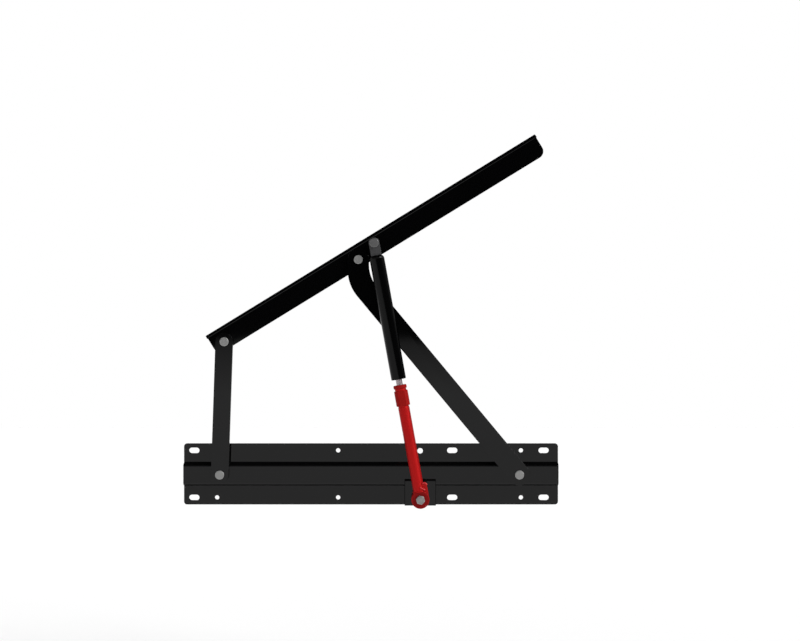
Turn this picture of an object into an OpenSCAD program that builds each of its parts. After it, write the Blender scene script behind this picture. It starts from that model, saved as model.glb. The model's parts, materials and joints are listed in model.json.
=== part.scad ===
/* [Base rail] */
// Length of the base rail
base_len = 600; // [580:5:660]
// Height of the base rail over both flanges
base_h = 98; // [94:0.5:112]
// Thickness of the pressed steel sheet of both rails
sheet_t = 3; // [2:0.5:3.5]
// Depth of the raised web in front of the back plane
web_rise = 12; // [11:0.5:15]
// Height of the flat front of the raised web
web_w = 29; // [27:0.5:32]
// Height of the raised web at its foot
web_foot = 35.5; // [34:0.5:40]
// Inner radius of the base rail's pressed bends
bend_r = 1.5; // [1:0.25:2]
// Radius of the corners of the flanges
base_corner_r = 5; // [2:0.5:8]

/* [Base rail holes] */
// Distance of both hole rows from the long edges
hole_edge = 11.25; // [10.5:0.25:12]
// Length of the screw slots, end to end
slot_l = 16.5; // [12:0.5:20]
// Width of the screw slots
slot_w = 9; // [6:0.5:10]
// Diameter of the small screw holes
pilot_d = 7; // [4:0.5:8]
// Diameter of the holes for the strut's bolt in both flanges
strut_hole_d = 9; // [8.5:0.5:11]
// Distance of the rear slots from the rear end
rear_slot_inset = 16.5; // [14:0.5:20]
// Distance of the front slots from the front end
front_slot_inset = 23; // [14:0.5:26]
// Place of the middle slots, to the front of the middle of the end slots
mid_slot_x = 133.5; // [126:0.5:140]
// Distance of the rear small holes from the rear end
rear_pilot_inset = 53; // [45:0.5:60]
// Distance of the front small holes from the front end
front_pilot_inset = 59.5; // [45:0.5:65]
// Place of the middle small holes, to the rear of the middle of the end slots
mid_pilot_x = 49.5; // [30:0.5:80]

/* [Linkage] */
// Distance of the rear link's lower pivot from the rear end of the base rail
rear_pivot_inset = 59; // [52:1:70]
// Distance of the front arm's lower pivot from the front end of the base rail
front_pivot_inset = 63; // [52:1:75]
// Height of the upper rail's pivots above the base rail's pivots when the mechanism is closed
closed_up = 90.2; // [86:0.2:95]
// Distance of the upper rail's rear pivot behind the base rail's rear pivot when it is closed
closed_back = 192.4; // [186:0.2:198]
// Distance between the two pivots on the upper rail
rail_pivot_gap = 251; // [245:0.5:256]
// Tilt of the upper rail when the mechanism is open
open_angle = 31.5; // [28:0.5:33]

/* [Links] */
// Thickness of the flat bar of the rear link and the front arm
link_t = 5; // [4:0.5:6]
// Width of the rear link
rear_link_w = 28; // [26:0.5:32]
// Width of the front arm
front_arm_w = 34; // [30:0.5:36]
// Length of the front arm's cranked tip, from its pivot to the bend's corner
arm_tip_len = 34.2; // [33:0.2:38]
// Angle between the cranked tip and the line through the arm's pivots
arm_tip_lean = 36.9; // [34:0.1:39]
// Radius of the front arm's bend on its outer side
arm_outer_r = 65; // [56:1:70]
// Radius of the front arm's bend on its inner side
arm_inner_r = 54; // [20:1:60]

/* [Upper rail] */
// Length of the upper rail
rail_len = 618; // [580:2:640]
// Height of the upper rail's upright flange
rail_h = 36.5; // [35:0.5:42]
// Width of the upper rail's lying flange
rail_w = 30; // [26:1:40]
// Inner radius of the upper rail's bend
rail_bend_r = 3; // [1.5:0.25:4]
// Distance of the rear pivot from the rear end of the upper rail
rail_lead = 21.5; // [18:0.5:24]
// Distance of the pivots below the top of the upper rail
rail_pivot_drop = 24; // [22:0.5:24.5]
// Radius of the upright flange's lower corners
rail_corner_r = 12; // [4:0.5:13]
// Length by which the upright flange stands back at each end of the rail
rail_end_step = 1.2; // [0.6:0.2:3]
// Diameter of the frame holes in the lying flange
rail_hole_d = 7; // [5:0.5:9]
// Distance of the outer frame holes from the rail's ends
rail_hole_inset = 42; // [30:1:60]
// Number of frame holes in the lying flange
rail_holes = 5; // [3:1:7]

/* [Pivots] */
// Diameter of the rivets' shanks
rivet_d = 10; // [8:0.5:10]
// Diameter of the rivets' flat front heads
head_d = 14.5; // [13:0.5:18]
// Thickness of the rivets' front heads
head_t = 2; // [1.5:0.25:3]
// Diameter of the rivets' formed rear heads
tail_d = 13.5; // [13:0.5:16]
// Thickness of the rivets' formed rear heads
tail_t = 2.5; // [2:0.25:3.5]
// Diameter of the washers behind the links
washer_d = 21; // [18:0.5:23]
// Thickness of the washers behind the links
washer_t = 1; // [0.6:0.1:1.6]
// Wall of the bushes in the links
bush_wall = 1; // [0.8:0.1:1.5]

/* [Strut bracket] */
// Place of the strut's foot, to the front of the middle of the end slots
strut_foot_x = 82; // [76:0.5:86]
// Height of the strut's foot above the lower row of holes
strut_foot_up = 0.75; // [0:0.25:2]
// Thickness of the bracket's sheet
bracket_t = 2; // [2:0.25:3]
// Width of the strut bracket
bracket_w = 50; // [44:1:60]
// Depth of the bracket's front face in front of the back plane
bracket_face = 20; // [19:0.25:22]
// Height of the bracket above the strut's foot
bracket_up = 29.8; // [27:0.2:31]
// Fall of the bracket's upper leg towards the front
bracket_draft = 0.5; // [0.25:0.25:2.5]
// Inner radius of the bracket's bends
bracket_bend_r = 0.4; // [0.3:0.1:1]
// Leg of the weld beads at the bracket
weld_leg = 2.5; // [1.5:0.25:3]

/* [Strut ends] */
// Place of the strut's head along the upper rail, past its front pivot
strut_head_past = 35; // [33:0.5:41]
// Place of the strut's head above the line of the upper rail's pivots
strut_head_up = 8.5; // [6:0.5:10]
// Diameter of the lower eye
eye_d = 28.5; // [27:0.5:32]
// Thickness of the lower eye
eye_t = 18; // [16:0.5:20]
// Distance from the lower eye's centre to the seat of the tube
tube_seat = 12; // [11:0.5:13]
// Reach of the ear beside the lower eye, along the strut
ear_reach = 25; // [20:0.5:30]
// Thickness of the ear beside the lower eye
ear_t = 11; // [8:0.5:14]
// Diameter of the lower bolt
bolt_d = 8; // [8:1:10]
// Width of the lower bolt's hexagon head across its flats
bolt_af = 13; // [13:1:17]
// Height of the lower bolt's head
bolt_head_t = 5.4; // [5:0.2:8]
// Wall of the bush in the lower eye
eye_bush_wall = 2; // [1:0.25:3]
// Outer diameter of the clinch nut behind the bracket
nut_d = 13; // [12.6:0.1:13]
// Height of the clinch nut
nut_t = 8; // [5:0.5:8]
// Width of the flat upper eye
top_eye_w = 17; // [16:0.5:20]
// Thickness of the flat upper eye
top_eye_t = 12; // [11:0.5:14]
// Length of the upper eye, from its centre to the shroud
top_eye_len = 20.4; // [19:0.2:26]
// Diameter of the stud's journal in the upper eye
journal_d = 8; // [7:0.5:9]
// Diameter of the stud's shoulder
shoulder_d = 14; // [12:0.5:16]
// Diameter of the cap on the stud's end
stud_cap_d = 15; // [12:0.5:16.5]
// Thickness of the cap on the stud's end
stud_cap_t = 2.5; // [1.5:0.25:4]

/* [Gas strut] */
// Outer diameter of the black shroud tube
shroud_d = 23.6; // [23.4:0.1:25]
// Wall of the shroud tube
shroud_wall = 0.75; // [0.6:0.05:0.8]
// Radius of the shroud's upper shoulder
shroud_r = 5; // [3:0.5:6]
// Length of rod that shows between the tube's cap and the shroud
rod_show = 9.2; // [5:0.2:14]
// Diameter of the piston rod
rod_d = 10; // [8:0.5:10]
// Diameter of the rod's threaded end in the upper eye
rod_end_d = 8; // [6:0.5:8]
// Length of the rod's threaded end in the upper eye
rod_end_len = 12; // [8:0.5:12]
// Outer diameter of the red pressure tube
tube_d = 18; // [17:0.25:18.5]
// Wall of the pressure tube
tube_wall = 1.25; // [1:0.05:1.5]
// Outer diameter of the sleeve round the top of the pressure tube
sleeve_d = 21.8; // [21:0.1:21.8]
// Distance of the sleeve's front and rear flats from the strut's axis
sleeve_flat = 9.5; // [9.4:0.1:10.4]
// Length of the sleeve
sleeve_len = 24.3; // [18:0.1:30]
// Outer diameter of the cap on the pressure tube
cap_d = 21; // [20:0.1:21.5]
// Length of the cap on the pressure tube
cap_len = 5.9; // [4:0.1:8]
// Thickness of the cap's end wall
cap_wall = 1; // [0.8:0.1:1.5]
// Gap of bare tube between the sleeve and the cap
cap_neck = 3.1; // [2:0.1:6]
// Width of the rolled groove below the sleeve
groove_w = 2.8; // [1.5:0.1:4]
// Depth of the rolled groove below the sleeve
groove_deep = 0.5; // [0.3:0.1:0.7]
// Thickness of the plug at the foot of the pressure tube
plug_t = 3.6; // [3:0.2:6]
// Thickness of the piston
piston_t = 6; // [5:0.5:10]
// Width of the ring in the piston
ring_t = 2; // [1.5:0.25:2.5]
// Length of the rod seal
seal_t = 5; // [4:0.5:8]
// Length of the rod guide
guide_t = 6.5; // [5:0.5:10]

/* [Clearances] */
// Radial clearance of a turning pin or a sliding piston
run_gap = 0.05; // [0.03:0.01:0.08]
// Radial clearance of parts that are pressed together
fit_gap = 0.02; // [0.01:0.01:0.04]
// Clearance between flat faces that turn on each other
face_gap = 0.2; // [0.1:0.05:0.4]
// Clearance between layers that pass each other, and at the ends of the piston's travel
pass_gap = 0.3; // [0.2:0.05:0.6]

/* [Hidden] */

// Points are [x, z] in the elevation. A depth is counted from the back plane to the front (-Y).
painted = [0.10, 0.10, 0.11];
riveted = [0.52, 0.52, 0.51];
fitting = [0.26, 0.26, 0.27];
red = [0.62, 0.09, 0.09];
bright = [0.72, 0.70, 0.72];
zinc = [0.58, 0.58, 0.56];
plastic = [0.82, 0.80, 0.74];
rubber = [0.07, 0.07, 0.07];

function dir(a) = [cos(a), sin(a)];
function unit(v) = v / norm(v);
function left(v) = [-v[1], v[0]];
function angle_of(v) = atan2(v[1], v[0]);
function turn(u, v) = atan2(u[0] * v[1] - u[1] * v[0], u * v);

// The upper crossing of a circle round p with a circle round q
function crossing(p, rp, q, rq) =
    let (d = norm(q - p), a = (rp * rp - rq * rq + d * d) / (2 * d), h = sqrt(rp * rp - a * a))
    p + unit(q - p) * a + left(unit(q - p)) * h;

// The origin lies on the back plane, in the middle of the four end slots
rear_end = (front_slot_inset - rear_slot_inset - base_len) / 2;
front_end = rear_end + base_len;

// The linkage: its closed pose gives the lengths of the links, and the tilt gives the open pose
rear_foot = [rear_end + rear_pivot_inset, 0];
front_foot = [front_end - front_pivot_inset, 0];
closed_rear_top = rear_foot + [-closed_back, closed_up];
rear_link_len = norm(closed_rear_top - rear_foot);
front_arm_len = norm(closed_rear_top + [rail_pivot_gap, 0] - front_foot);
rear_top = crossing(rear_foot, rear_link_len, front_foot - rail_pivot_gap * dir(open_angle), front_arm_len);
function on_rail(along, up) = rear_top + along * dir(open_angle) + up * left(dir(open_angle));
front_top = on_rail(rail_pivot_gap, 0);

// The strut: its stroke is the difference between its open and its closed length
row_z = base_h / 2 - hole_edge;
strut_foot = [strut_foot_x, strut_foot_up - row_z];
strut_head_along = rail_pivot_gap + strut_head_past;
strut_head = on_rail(strut_head_along, strut_head_up);
strut_angle = angle_of(strut_head - strut_foot);
open_len = norm(strut_head - strut_foot);
stroke = open_len - norm(closed_rear_top + [strut_head_along, strut_head_up] - strut_foot);

// Layers from the back to the front
web_back = web_rise - sheet_t;
link_back = web_rise + washer_t + face_gap;
link_front = link_back + link_t;
head_front = link_front + head_t;
strut_depth = max(head_front, bracket_face) + pass_gap + shroud_d / 2;
eye_back = strut_depth - eye_t / 2;
eye_front = strut_depth + eye_t / 2;
top_eye_back = strut_depth - top_eye_t / 2;
top_eye_front = strut_depth + top_eye_t / 2;
bracket_back = bracket_face - bracket_t;
strut_side = bracket_face + pass_gap;

// Bores and holes that follow the pins
rivet_hole = rivet_d + 2 * fit_gap;
rivet_bore = rivet_d + 2 * run_gap;
bush_d = rivet_bore + 2 * bush_wall;
link_hole = bush_d + 2 * fit_gap;

// The strut along its axis, counted from the centre of the lower eye
tube_bore = tube_d - 2 * tube_wall;
rod_bore = rod_d + 2 * run_gap;
sealed_d = tube_bore - 2 * fit_gap;
plug_top = tube_seat + plug_t;
piston_low = plug_top + 2 * pass_gap + stroke;
piston_top = piston_low + piston_t;
seal_low = piston_top + pass_gap;
seal_top = seal_low + seal_t;
tube_top = seal_top + guide_t;
cap_top = tube_top + cap_wall;
sleeve_top = cap_top - cap_len - cap_neck;
sleeve_low = sleeve_top - sleeve_len;
shroud_low = cap_top + rod_show;
shroud_top = open_len - top_eye_len;
shroud_end = 1.5;
eye_bush_d = bolt_d + 2 * run_gap + 2 * eye_bush_wall;
top_bush_d = journal_d + 2 * run_gap + 2 * bush_wall;
bolt_tip = bracket_back - nut_t - 1;
bolt_turn = 13;
chamfer = 0.6;
tail_round = 1.2;

round_fn = 64;
small_fn = 40;
bend_steps = 6;
end_steps = 24;

// One side of a bent strip: the path moved to its left by s, with the bends' centre line radius r
function bend(before, p, after, r, s) =
    let (
        u = unit(p - before), t = turn(u, unit(after - p)), side = sign(t),
        centre = p - u * r * tan(abs(t) / 2) + left(u) * side * r,
        start = angle_of(-side * left(u))
    )
    [for (i = [0:bend_steps]) centre + (r - side * s) * dir(start + t * i / bend_steps)];

function strip_side(path, r, s) =
    let (last = len(path) - 1)
    concat(
        [path[0] + left(unit(path[1] - path[0])) * s],
        [for (i = [1:1:last - 1]) each bend(path[i - 1], path[i], path[i + 1], r, s)],
        [path[last] + left(unit(path[last] - path[last - 1])) * s]
    );

function backwards(list) = [for (i = [len(list) - 1:-1:0]) list[i]];
function strip(path, w, r) = concat(strip_side(path, r, w / 2), backwards(strip_side(path, r, -w / 2)));

// A shape drawn in the elevation, from depth d0 to depth d1
module plate(d0, d1) {
    translate([0, -d0, 0]) rotate([90, 0, 0]) linear_extrude(d1 - d0) children();
}

// A shape drawn as [y, z], extruded along X from x0
module along_x(x0, length) {
    translate([x0, 0, 0]) rotate([90, 0, 90]) linear_extrude(length) children();
}

// A round pin across the mechanism, centred on p in the elevation
module pin(p, d0, d1, d, fn = round_fn) {
    translate([p[0], -d0, p[1]]) rotate([90, 0, 0]) cylinder(h = d1 - d0, d = d, $fn = fn);
}

// A turned part across the mechanism: its profile is [radius, depth]
module turned(p) {
    translate([p[0], 0, p[1]]) rotate([90, 0, 0]) rotate_extrude($fn = round_fn) children();
}

module ring(p, d0, d1, outer, inner) {
    difference() {
        pin(p, d0, d1, outer);
        pin(p, d0 - 1, d1 + 1, inner);
    }
}

// What is left of a square corner outside its round, at the origin, towards +x and +y
module corner_waste(r) {
    difference() {
        translate([-1, -1]) square(r + 1);
        translate([r, r]) circle(r, $fn = small_fn);
    }
}

// Profile of a disc from depth d0 to depth d1, with its outer edge chamfered at d1
function disc(d, d0, d1) =
    [[d / 2, d0], [d / 2, d1 - chamfer], [d / 2 - chamfer, d1], [0, d1]];

// Profile of a formed rear head on plates whose back face lies at depth grip
function formed_head(grip) = [
    [0, grip - tail_t], [tail_d / 2 - tail_round, grip - tail_t],
    [tail_d / 2, grip - tail_t + tail_round], [tail_d / 2, grip], [rivet_d / 2, grip]
];

module at_rail() {
    translate([rear_top[0], 0, rear_top[1]]) rotate([0, -open_angle, 0]) children();
}

// The strut's own frame: Z runs from the lower eye to the upper eye, X points to the front
module at_strut() {
    translate([strut_foot[0], -strut_depth, strut_foot[1]]) rotate([0, 90 - strut_angle, 0]) children();
}

// A turned part of the strut: its profile is [radius, place along the strut]
module on_strut_axis() {
    at_strut() rotate_extrude($fn = round_fn) children();
}

module tube_profile(outer, inner, low, top) {
    translate([inner / 2, low]) square([(outer - inner) / 2, top - low]);
}

module slot_cutter(p) {
    reach = (slot_l - slot_w) / 2;
    for (side = [-1, 1]) pin([p[0] + side * reach, p[1]], -1, web_rise, slot_w, small_fn);
    translate([p[0] - reach, -web_rise, p[1] - slot_w / 2]) cube([2 * reach, web_rise + 1, slot_w]);
}

module base_rail() {
    middle = sheet_t / 2;
    path = [
        [-middle, -base_h / 2], [-middle, -web_foot / 2],
        [middle - web_rise, -web_w / 2], [middle - web_rise, web_w / 2],
        [-middle, web_foot / 2], [-middle, base_h / 2]
    ];
    slots = [rear_end + rear_slot_inset, mid_slot_x, front_end - front_slot_inset];
    pilots = [rear_end + rear_pilot_inset, -mid_pilot_x, front_end - front_pilot_inset];
    color(painted) difference() {
        along_x(rear_end, base_len) polygon(strip(path, sheet_t, bend_r + middle));
        for (z = [-row_z, row_z]) {
            for (x = slots) slot_cutter([x, z]);
            for (x = pilots) pin([x, z], -1, web_rise, pilot_d, small_fn);
        }
        for (side = [-1, 1]) pin([strut_foot[0], side * strut_foot[1]], -1, web_rise, strut_hole_d, small_fn);
        for (p = [rear_foot, front_foot]) pin(p, -1, web_rise + 1, rivet_hole);
        plate(-1, web_rise) for (up = [0, 1]) mirror([0, up]) {
            translate([rear_end, -base_h / 2]) corner_waste(base_corner_r);
            translate([front_end, -base_h / 2]) mirror([1, 0]) corner_waste(base_corner_r);
        }
    }
}

// A pressed hat of sheet, trimmed flush where its upper leg meets the raised web
module strut_bracket() {
    top = strut_foot[1] + bracket_up - bracket_t / 2;
    bottom = (bracket_t - base_h) / 2;
    front = bracket_t / 2 - bracket_face;
    path = [[-web_back, top], [front, top - bracket_draft], [front, bottom], [-sheet_t, bottom]];
    color(painted) difference() {
        along_x(strut_foot[0] - bracket_w / 2, bracket_w) difference() {
            polygon(strip(path, bracket_t, bracket_bend_r + bracket_t / 2));
            translate([-web_rise, strut_foot[1]]) square([web_rise, -strut_foot[1]]);
        }
        pin(strut_foot, 0, bracket_face + 1, bolt_d + 2 * fit_gap);
    }
}

// A fillet weld in a corner: its second side lies on a face with this slope
function bead(slope) = [
    [0, 0], [weld_leg, slope * weld_leg], [weld_leg * 0.45, weld_leg * 0.45], [0, weld_leg]
];

module bracket_welds() {
    bead_len = bracket_w - 8;
    // Slope of the upper leg over its length, and its lower face where it meets the web
    slope = bracket_draft / (bracket_face - web_back - bracket_t / 2);
    leg_under = strut_foot[1] + bracket_up - slope * sheet_t - bracket_t / 2 * (sqrt(1 + slope * slope) + 1);
    leg_inside = bracket_t - base_h / 2;
    color(painted) {
        along_x(strut_foot[0] - bead_len / 2, bead_len) {
            translate([-web_rise, leg_under]) rotate(180) polygon(bead(slope));
            translate([-sheet_t, leg_inside]) mirror([1, 0]) polygon(bead(0));
        }
    }
}

module clinch_nut() {
    color(zinc) difference() {
        turned(strut_foot) polygon([
            [0, bracket_back - nut_t], [nut_d / 2 - chamfer, bracket_back - nut_t],
            [nut_d / 2, bracket_back - nut_t + chamfer], [nut_d / 2, bracket_back], [0, bracket_back]
        ]);
        pin(strut_foot, 0, bracket_face, bolt_d + 2 * fit_gap);
    }
}

// The bolt's threaded half, which stays in the bracket and its nut
module lower_bolt_tail() {
    color(zinc) turned(strut_foot) polygon([
        [0, bolt_tip], [bolt_d / 2 - chamfer, bolt_tip], [bolt_d / 2, bolt_tip + chamfer],
        [bolt_d / 2, bracket_face], [0, bracket_face]
    ]);
}

// A rivet through the sheet, its washer and the link
module rivet(p) {
    front_head = concat([[rivet_d / 2, link_front]], disc(head_d, link_front, head_front));
    color(riveted) turned(p) polygon(concat(formed_head(web_back), front_head));
}

module rear_base_rivet() { rivet(rear_foot); }

module front_base_rivet() { rivet(front_foot); }

module front_top_rivet() { rivet(front_top); }

// The rear upper rivet is in two halves, which meet at the face between the link and the rail
module rear_top_rivet() {
    shank = [[0, link_back], [rivet_d / 2, link_back], [rivet_d / 2, link_front]];
    color(riveted) turned(rear_top) polygon(concat(shank, disc(head_d, link_front, head_front)));
}

module rear_top_rivet_tail() {
    joint_face = web_rise + washer_t;
    color(riveted) turned(rear_top)
        polygon(concat(formed_head(web_back), [[rivet_d / 2, joint_face], [0, joint_face]]));
}

module base_pivot_washers() {
    for (p = [rear_foot, front_foot]) {
        color(riveted) ring(p, web_rise, web_rise + washer_t, washer_d, rivet_hole);
    }
}

module rail_pivot_washers() {
    for (p = [rear_top, front_top]) {
        color(riveted) ring(p, web_rise, web_rise + washer_t, washer_d, rivet_hole);
    }
}

module link_bushes(ends) {
    for (p = ends) color(plastic) ring(p, link_back, link_front, bush_d, rivet_bore);
}

module rear_link_bushes() { link_bushes([rear_foot, rear_top]); }

module front_arm_bushes() { link_bushes([front_foot, front_top]); }

// Half a circle round p, clockwise from its side that lies in direction from
function round_end(p, from, r) =
    [for (i = [1:end_steps - 1]) p + r * dir(angle_of(from) - 180 * i / end_steps)];

// A flat bar along a path, with round ends and a bushed hole at each. The bends' centre line radius
// is given for the path's left and right side.
module flat_bar(path, w, r_left, r_right) {
    last = len(path) - 1;
    head = round_end(path[last], left(path[last] - path[last - 1]), w / 2);
    foot = round_end(path[0], left(path[0] - path[1]), w / 2);
    outline = concat(strip_side(path, r_left, w / 2), head, backwards(strip_side(path, r_right, -w / 2)), foot);
    color(painted) difference() {
        plate(link_back, link_front) polygon(outline);
        for (p = [path[0], path[last]]) pin(p, link_back - 1, link_front + 1, link_hole);
    }
}

module rear_link() { flat_bar([rear_foot, rear_top], rear_link_w, 0, 0); }

module front_arm() {
    tip = angle_of(front_top - front_foot) - arm_tip_lean;
    corner = front_top - arm_tip_len * dir(tip);
    half = front_arm_w / 2;
    flat_bar([front_foot, corner, front_top], front_arm_w, arm_outer_r - half, arm_inner_r + half);
}

// Drawn along X from its rear pivot, then tilted
module upper_rail() {
    top = rail_pivot_drop;
    bottom = top - rail_h;
    middle = sheet_t / 2;
    path = [[middle - web_rise, bottom], [middle - web_rise, top - middle], [rail_w - web_rise, top - middle]];
    bend_out = rail_bend_r + sheet_t;
    color(painted) at_rail() difference() {
        along_x(-rail_lead, rail_len) polygon(strip(path, sheet_t, rail_bend_r + middle));
        for (end = [0, 1]) translate([end * (rail_len - 2 * rail_lead), 0, 0]) mirror([end, 0, 0]) {
            translate([-rail_lead - 1, -web_rise - 1, bottom - 1])
                cube([rail_end_step + 1, bend_out + 1, rail_h - bend_out + 1]);
            plate(web_back - 1, web_rise + 1)
                translate([rail_end_step - rail_lead, bottom]) corner_waste(rail_corner_r);
            translate([-rail_lead, rail_w - web_rise, top - sheet_t - 1])
                mirror([0, 1, 0]) linear_extrude(sheet_t + 2) corner_waste(rail_corner_r);
        }
        for (p = [[0, 0], [rail_pivot_gap, 0], [strut_head_along, strut_head_up]])
            pin(p, web_back - 1, web_rise + 1, rivet_hole);
        for (i = [0:rail_holes - 1])
            translate([
                rail_hole_inset - rail_lead + i * (rail_len - 2 * rail_hole_inset) / (rail_holes - 1),
                rail_w / 2 - web_rise + sheet_t / 2, top - sheet_t - 1
            ]) cylinder(h = sheet_t + 2, d = rail_hole_d, $fn = small_fn);
    }
}

// Riveted into the upper rail: tail, shank, shoulder and the journal that carries the eye
module upper_stud() {
    shoulder_front = top_eye_back - face_gap;
    journal_end = top_eye_front + face_gap + stud_cap_t - 0.5;
    color(fitting) turned(strut_head) polygon(concat(formed_head(web_back), [
        [rivet_d / 2, web_rise], [shoulder_d / 2, web_rise], [shoulder_d / 2, shoulder_front],
        [journal_d / 2, shoulder_front], [journal_d / 2, journal_end], [0, journal_end]
    ]));
}

module upper_stud_cap() {
    low = top_eye_front + face_gap;
    color(riveted) difference() {
        turned(strut_head) polygon(concat([[0, low]], disc(stud_cap_d, low, low + stud_cap_t)));
        pin(strut_head, low - 1, low + stud_cap_t - 0.5 + fit_gap, journal_d + 2 * fit_gap);
    }
}

module upper_eye() {
    half = top_eye_w / 2;
    color(fitting) difference() {
        at_strut() plate(-top_eye_t / 2, top_eye_t / 2) union() {
            translate([0, open_len]) circle(half, $fn = round_fn);
            translate([-half, shroud_top]) square([top_eye_w, top_eye_len]);
        }
        pin(strut_head, top_eye_back - 1, top_eye_front + 1, top_bush_d + 2 * fit_gap);
        at_strut() translate([0, 0, shroud_top - 1])
            cylinder(h = rod_end_len + 1 + fit_gap, d = rod_end_d + 2 * fit_gap, $fn = small_fn);
    }
}

module upper_eye_bush() {
    color(plastic) ring(strut_head, top_eye_back, top_eye_front, top_bush_d, journal_d + 2 * run_gap);
}

// The shroud hangs on the rod's shoulder and covers the rod down to the tube's cap
module shroud_tube() {
    outer = shroud_d / 2;
    inner = outer - shroud_wall;
    roof = shroud_top - shroud_end;
    lip = 0.4;
    outer_round = [for (i = [0:8]) [outer - shroud_r, shroud_top - shroud_r] + shroud_r * dir(90 * i / 8)];
    inner_r = shroud_r - shroud_end;
    inner_round = [for (i = [8:-1:0]) [inner - inner_r, roof - inner_r] + inner_r * dir(90 * i / 8)];
    hole = rod_end_d / 2 + fit_gap;
    color(painted) on_strut_axis() polygon(concat(
        [[inner, shroud_low], [outer - lip, shroud_low], [outer, shroud_low + 3 * lip]],
        outer_round, [[hole, shroud_top], [hole, roof]], inner_round
    ));
}

module piston_rod() {
    shoulder = shroud_top - shroud_end;
    spigot = rod_d / 2 - 1.5;
    color(bright) on_strut_axis() polygon([
        [0, piston_low], [spigot, piston_low], [spigot, piston_top], [rod_d / 2, piston_top],
        [rod_d / 2, shoulder], [rod_end_d / 2, shoulder],
        [rod_end_d / 2, shroud_top + rod_end_len - chamfer],
        [rod_end_d / 2 - chamfer, shroud_top + rod_end_len], [0, shroud_top + rod_end_len]
    ]);
}

module piston() {
    outer = tube_bore / 2 - 1.5 * run_gap;
    ring_low = piston_low + (piston_t - ring_t) / 2;
    bottom_of_groove = outer - 1.2;
    hole = rod_d / 2 - 1.5 + fit_gap;
    color(bright) on_strut_axis() polygon([
        [hole, piston_low], [outer, piston_low], [outer, ring_low], [bottom_of_groove, ring_low],
        [bottom_of_groove, ring_low + ring_t], [outer, ring_low + ring_t], [outer, piston_top],
        [hole, piston_top]
    ]);
}

module piston_ring() {
    outer = tube_bore / 2 - run_gap;
    low = piston_low + (piston_t - ring_t) / 2;
    color(rubber) on_strut_axis()
        tube_profile(2 * outer, tube_bore - 2 * (1.2 + 1.5 * run_gap - fit_gap), low + fit_gap, low + ring_t - fit_gap);
}

module pressure_tube() {
    outer = tube_d / 2;
    inner = tube_bore / 2;
    color(red) on_strut_axis() polygon([
        [inner, tube_seat], [outer, tube_seat], [outer, sleeve_low - groove_w],
        [outer - groove_deep, sleeve_low - groove_w + groove_deep], [outer - groove_deep, sleeve_low - groove_deep],
        [outer, sleeve_low], [outer, tube_top], [inner, tube_top]
    ]);
}

module tube_plug() {
    color(bright) on_strut_axis() translate([0, tube_seat]) square([sealed_d / 2, plug_t]);
}

module guide_sleeve() {
    outer = sleeve_d / 2;
    inner = tube_d / 2 + fit_gap;
    edge = 0.8;
    color(red) difference() {
        on_strut_axis() polygon([
            [inner, sleeve_low], [outer - edge, sleeve_low], [outer, sleeve_low + edge],
            [outer, sleeve_top - edge], [outer - edge, sleeve_top], [inner, sleeve_top]
        ]);
        at_strut() for (side = [0, 1]) mirror([0, side, 0])
            translate([-outer, sleeve_flat, sleeve_low - 1]) cube([2 * outer, outer, sleeve_len + 2]);
    }
}

module tube_cap() {
    outer = cap_d / 2;
    skirt = tube_d / 2 + fit_gap;
    low = cap_top - cap_len;
    edge = 1.6;
    hole = rod_bore / 2 + run_gap;
    top_edge = [for (i = [0:5]) [outer - edge, cap_top - edge] + edge * dir(90 * i / 5)];
    low_edge = [for (i = [0:5]) [outer - edge, low + edge] + edge * dir(90 * i / 5 - 90)];
    color(red) on_strut_axis() polygon(concat(
        [[skirt, low]], [for (p = low_edge) if (p[0] > skirt + 0.1) p], top_edge,
        [[hole, cap_top], [hole, tube_top], [skirt, tube_top]]
    ));
}

module rod_guide() {
    color(plastic) on_strut_axis() tube_profile(sealed_d, rod_bore, seal_top, tube_top);
}

module rod_seal() {
    color(rubber) on_strut_axis() tube_profile(sealed_d, rod_bore, seal_low, seal_top);
}

// A ring cut flat for the tube's seat, with an ear that runs up beside the tube
module lower_eye() {
    half = eye_d / 2;
    color(red) difference() {
        union() {
            intersection() {
                pin(strut_foot, eye_back, eye_front, eye_d);
                at_strut() translate([-half - 1, -eye_t, -half - 1]) cube([eye_d + 2, 2 * eye_t, half + 1 + tube_seat]);
            }
            at_strut() plate(-ear_t / 2, ear_t / 2) difference() {
                square([half, ear_reach]);
                translate([half, ear_reach]) rotate(180) corner_waste(4);
            }
        }
        at_strut() translate([0, 0, tube_seat])
            cylinder(h = ear_reach, d = tube_d + 2 * fit_gap, $fn = round_fn);
        pin(strut_foot, eye_back - 1, eye_front + 1, eye_bush_d + 2 * fit_gap);
    }
}

module lower_eye_bush() {
    color(plastic) ring(strut_foot, eye_back, eye_front, eye_bush_d, bolt_d + 2 * run_gap);
}

// The bolt's front half, which stays with the strut: shank and hexagon head
module lower_bolt() {
    color(zinc) {
        pin(strut_foot, strut_side, eye_front, bolt_d);
        intersection() {
            translate([strut_foot[0], -eye_front, strut_foot[1]]) rotate([90, bolt_turn, 0])
                cylinder(h = bolt_head_t, d = bolt_af / cos(30), $fn = 6);
            turned(strut_foot) polygon([
                [0, eye_front], [bolt_af, eye_front], [bolt_af * 0.575, eye_front + bolt_head_t - 1.2],
                [bolt_af / 2 - 0.4, eye_front + bolt_head_t], [0, eye_front + bolt_head_t]
            ]);
        }
    }
}

module lower_bolt_washer() {
    color(zinc) ring(strut_foot, strut_side, eye_back, bolt_d * 2.1, bolt_d + 2 * fit_gap);
}

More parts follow.
